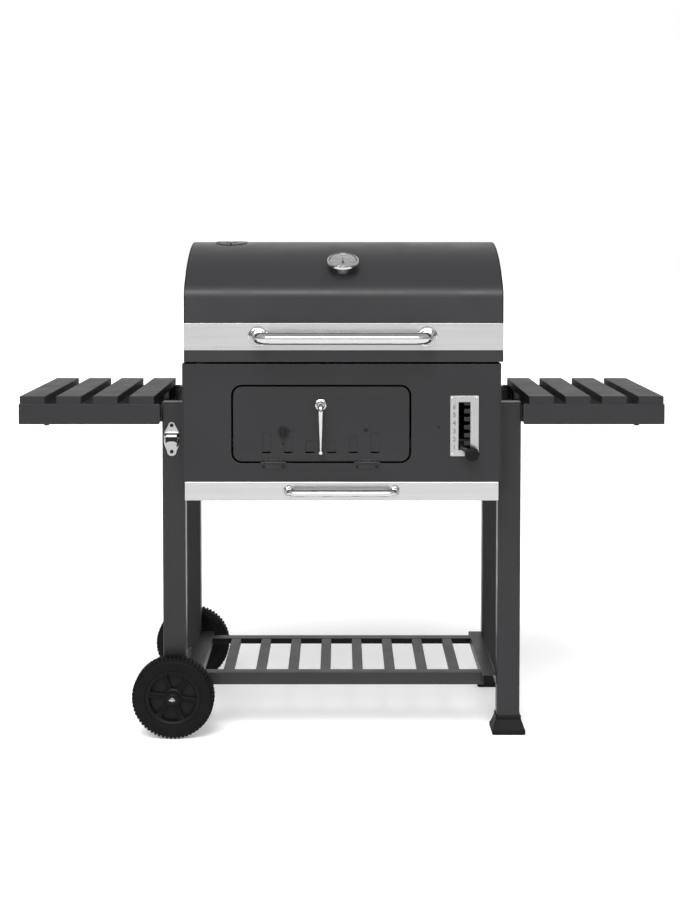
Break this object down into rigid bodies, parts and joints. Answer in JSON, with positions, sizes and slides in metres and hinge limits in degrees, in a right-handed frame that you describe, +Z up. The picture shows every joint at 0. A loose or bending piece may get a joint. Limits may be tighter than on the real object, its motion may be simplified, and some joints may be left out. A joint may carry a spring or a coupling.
{
  "type": "charcoal trolley grill",
  "caption": "Charcoal trolley grill with arched hinged lid, front charcoal door, height-adjustable grate, ash drawer, fold-down side shelves, wheels and bottom rack.",
  "frame": {"origin": "on the floor, under the middle of the whole grill's box", "axes": "+X to the user's right along the width, +Y to the back, +Z up"},
  "size_m": [1.505, 0.561, 1.161],
  "materials": {
    "charcoal_paint": "satin heat-proof paint with a fine orange-peel texture",
    "slat_paint": "satin powder coat",
    "stainless": "brushed along its length",
    "chrome": "polished",
    "black_plastic": "moulded, fine grain",
    "cast_iron": "enamelled, slightly rough",
    "galvanised": "zinc coated, dull",
    "dark_steel": "satin black",
    "clear_glass": "clear, domed",
    "needle_black": "satin"
  },
  "bodies": {
    "cart": {"leg_front_left": "charcoal_paint", "leg_front_right": "charcoal_paint", "leg_rear_left": "charcoal_paint", "leg_rear_right": "charcoal_paint", "foot_front_right": "black_plastic", "foot_rear_right": "black_plastic", "bottom_rack": "charcoal_paint", "wheel_axle": "galvanised", "bottle_opener": "stainless", "shelf_bracket_left": "dark_steel", "shelf_bracket_right": "dark_steel", "firebox_front": "charcoal_paint", "firebox_back": "charcoal_paint", "firebox_side_left": "charcoal_paint", "firebox_side_right": "charcoal_paint", "drawer_runner_left": "galvanised", "drawer_runner_right": "galvanised", "height_scale": "stainless", "door_hinge_left": "charcoal_paint", "door_hinge_right": "charcoal_paint", "lid_hinge_base_left": "dark_steel", "lid_hinge_base_right": "dark_steel"},
    "cooking_grate_left": {"cooking_grate_left": "cast_iron"},
    "cooking_grate_right": {"cooking_grate_right": "cast_iron"},
    "lid": {"lid_sheet": "charcoal_paint", "lid_end_left": "charcoal_paint", "lid_end_right": "charcoal_paint", "lid_hinge_strap_left": "dark_steel", "lid_hinge_strap_right": "dark_steel", "lid_band": "stainless", "lid_handle": "chrome", "thermometer_case": "chrome", "thermometer_glass": "clear_glass", "lid_vent_collar": "charcoal_paint"},
    "lid_vent": {"lid_vent_damper": "charcoal_paint"},
    "thermometer_needle": {"thermometer_needle": "needle_black"},
    "charcoal_door": {"charcoal_door": "charcoal_paint"},
    "door_damper": {"door_damper": "charcoal_paint"},
    "door_latch": {"door_latch": "chrome"},
    "ash_drawer": {"ash_drawer_front": "stainless", "ash_drawer_tray": "galvanised", "ash_drawer_handle": "chrome"},
    "coal_lift": {"charcoal_grate": "cast_iron", "lift_frame": "dark_steel", "lift_lever": "black_plastic"},
    "wheel_front": {"wheel_front": "black_plastic"},
    "wheel_rear": {"wheel_rear": "black_plastic"},
    "side_shelf_left": {"shelf_frame_left": "charcoal_paint", "shelf_slat_left_1": "slat_paint", "shelf_slat_left_2": "slat_paint", "shelf_slat_left_3": "slat_paint", "shelf_slat_left_4": "slat_paint"},
    "side_shelf_right": {"shelf_frame_right": "charcoal_paint", "shelf_slat_right_1": "slat_paint", "shelf_slat_right_2": "slat_paint", "shelf_slat_right_3": "slat_paint", "shelf_slat_right_4": "slat_paint"}
  },
  "joints": [
    {"name": "lid_hinge", "type": "hinge", "parent": "cart", "child": "lid", "pos_m": [0, 0.2755, 0.883], "axis": [-1, 0, 0], "range_deg": [0, 95]},
    {"name": "lid_vent_slide", "type": "slide", "parent": "lid", "child": "lid_vent", "axis": [1, 0, 0], "range_m": [0, 0.01]},
    {"name": "thermometer_turn", "type": "hinge", "parent": "lid", "child": "thermometer_needle", "pos_m": [0.003, -0.15704, 1.09869], "axis": [0, 0.4617, -0.887], "range_deg": [0, 270]},
    {"name": "cooking_grate_left_lift", "type": "slide", "parent": "cart", "child": "cooking_grate_left", "axis": [0, 0, 1], "range_m": [0, 0.12]},
    {"name": "cooking_grate_right_lift", "type": "slide", "parent": "cart", "child": "cooking_grate_right", "axis": [0, 0, 1], "range_m": [0, 0.12]},
    {"name": "charcoal_door_hinge", "type": "hinge", "parent": "cart", "child": "charcoal_door", "pos_m": [-0.047, -0.2139, 0.6529], "axis": [1, 0, 0], "range_deg": [0, 90]},
    {"name": "door_damper_slide", "type": "slide", "parent": "charcoal_door", "child": "door_damper", "axis": [1, 0, 0], "range_m": [0, 0.025]},
    {"name": "door_latch_turn", "type": "hinge", "parent": "charcoal_door", "child": "door_latch", "pos_m": [-0.048, -0.2113, 0.786], "axis": [0, -1, 0], "range_deg": [0, 90]},
    {"name": "ash_drawer_slide", "type": "slide", "parent": "cart", "child": "ash_drawer", "axis": [0, -1, 0], "range_m": [0, 0.32]},
    {"name": "coal_lift_slide", "type": "slide", "parent": "cart", "child": "coal_lift", "axis": [0, 0, 1], "range_m": [0, 0.093]},
    {"name": "wheel_front_spin", "type": "hinge", "parent": "cart", "child": "wheel_front", "pos_m": [-0.39415, -0.181, 0.096], "axis": [0, 1, 0], "continuous": true},
    {"name": "wheel_rear_spin", "type": "hinge", "parent": "cart", "child": "wheel_rear", "pos_m": [-0.39415, 0.23, 0.096], "axis": [0, 1, 0], "continuous": true},
    {"name": "side_shelf_left_fold", "type": "hinge", "parent": "cart", "child": "side_shelf_left", "pos_m": [-0.44, 0.0245, 0.745], "axis": [0, -1, 0], "range_deg": [0, 90]},
    {"name": "side_shelf_right_fold", "type": "hinge", "parent": "cart", "child": "side_shelf_right", "pos_m": [0.44, 0.0245, 0.745], "axis": [0, 1, 0], "range_deg": [0, 90]}
  ]
}
